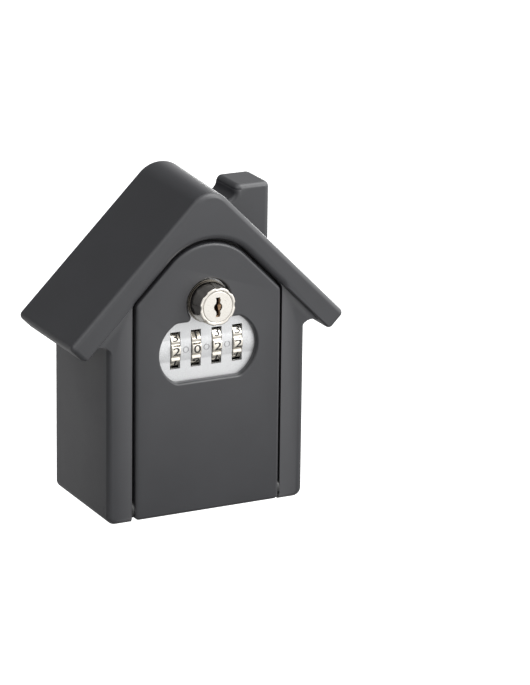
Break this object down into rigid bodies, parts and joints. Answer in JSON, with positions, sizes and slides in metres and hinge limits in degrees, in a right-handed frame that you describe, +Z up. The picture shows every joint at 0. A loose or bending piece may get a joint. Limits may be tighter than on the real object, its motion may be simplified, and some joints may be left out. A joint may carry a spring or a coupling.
{
  "type": "key lock box",
  "caption": "Wall key box shaped like a small house, with a drop-down door, code dials and a keyed knob that turns a cam.",
  "frame": {"origin": "middle of the base, on the wall plane that the rubber pad rests against", "axes": "+X to the right as seen from in front, +Y into the wall, so the door faces -Y, +Z up"},
  "size_m": [0.1308, 0.067, 0.147],
  "materials": {
    "black_coat": "matt black powder coat on die-cast metal",
    "rubber": "matt black rubber",
    "steel": "zinc-plated steel",
    "nylon": "natural nylon",
    "satin_silver": "satin silver, fine sparkle",
    "chrome": "polished chrome plate",
    "zinc": "as-cast zinc alloy",
    "nickel": "satin nickel plate",
    "brass": "machined brass",
    "black_plastic": "moulded black plastic"
  },
  "bodies": {
    "case": {"body_shell": "black_coat", "rear_pad": "rubber", "hinge_pin": "steel", "hinge_washers": "nylon", "door_seal": "rubber", "strike_plate": "steel", "strike_screws": "steel", "key_hook": "steel", "floor_mat": "rubber"},
    "door": {"door_panel": "black_coat", "dial_plate": "satin_silver", "lock_collar": "chrome", "lock_housing": "zinc", "housing_cover": "zinc", "cover_screws": "steel", "dial_axle": "steel", "detent_spring": "steel"},
    "dial_1": {"dial_wheel_1": "nickel", "tumbler_1": "brass"},
    "dial_2": {"dial_wheel_2": "nickel", "tumbler_2": "brass"},
    "dial_3": {"dial_wheel_3": "nickel", "tumbler_3": "brass"},
    "dial_4": {"dial_wheel_4": "nickel", "tumbler_4": "brass"},
    "knob": {"knob": "chrome", "retaining_clip": "steel"},
    "plug": {"key_plug": "brass", "plug_cap": "nickel", "wafers": "brass", "cam": "steel", "cam_washer": "steel", "cam_screw": "steel"},
    "locking_bar": {"locking_bar": "brass"},
    "code_lever": {"code_change_lever": "black_plastic"}
  },
  "joints": [
    {"name": "door_hinge", "type": "hinge", "parent": "case", "child": "door", "pos_m": [0, -0.0535, 0.0056], "axis": [1, 0, 0], "range_deg": [0, 100]},
    {"name": "dial_1_turn", "type": "hinge", "parent": "door", "child": "dial_1", "pos_m": [-0.015, -0.0473, 0.076], "axis": [1, 0, 0], "continuous": true},
    {"name": "dial_2_turn", "type": "hinge", "parent": "door", "child": "dial_2", "pos_m": [-0.005, -0.0473, 0.076], "axis": [1, 0, 0], "continuous": true},
    {"name": "dial_3_turn", "type": "hinge", "parent": "door", "child": "dial_3", "pos_m": [0.005, -0.0473, 0.076], "axis": [1, 0, 0], "continuous": true},
    {"name": "dial_4_turn", "type": "hinge", "parent": "door", "child": "dial_4", "pos_m": [0.015, -0.0473, 0.076], "axis": [1, 0, 0], "continuous": true},
    {"name": "knob_turn", "type": "hinge", "parent": "door", "child": "knob", "pos_m": [0, -0.06, 0.0971], "axis": [0, -1, 0], "range_deg": [0, 90]},
    {"name": "key_turn", "type": "hinge", "parent": "knob", "child": "plug", "pos_m": [0, -0.06, 0.0971], "axis": [0, -1, 0], "range_deg": [0, 90]},
    {"name": "locking_bar_slide", "type": "slide", "parent": "door", "child": "locking_bar", "axis": [0, 0, -1], "range_m": [0, 0.0014]},
    {"name": "code_lever_slide", "type": "slide", "parent": "door", "child": "code_lever", "axis": [1, 0, 0], "range_m": [0, 0.004]}
  ],
  "couplings": [
    {"joint": "locking_bar_slide", "follows": "knob_turn", "m_per_rad": 0.00089}
  ]
}
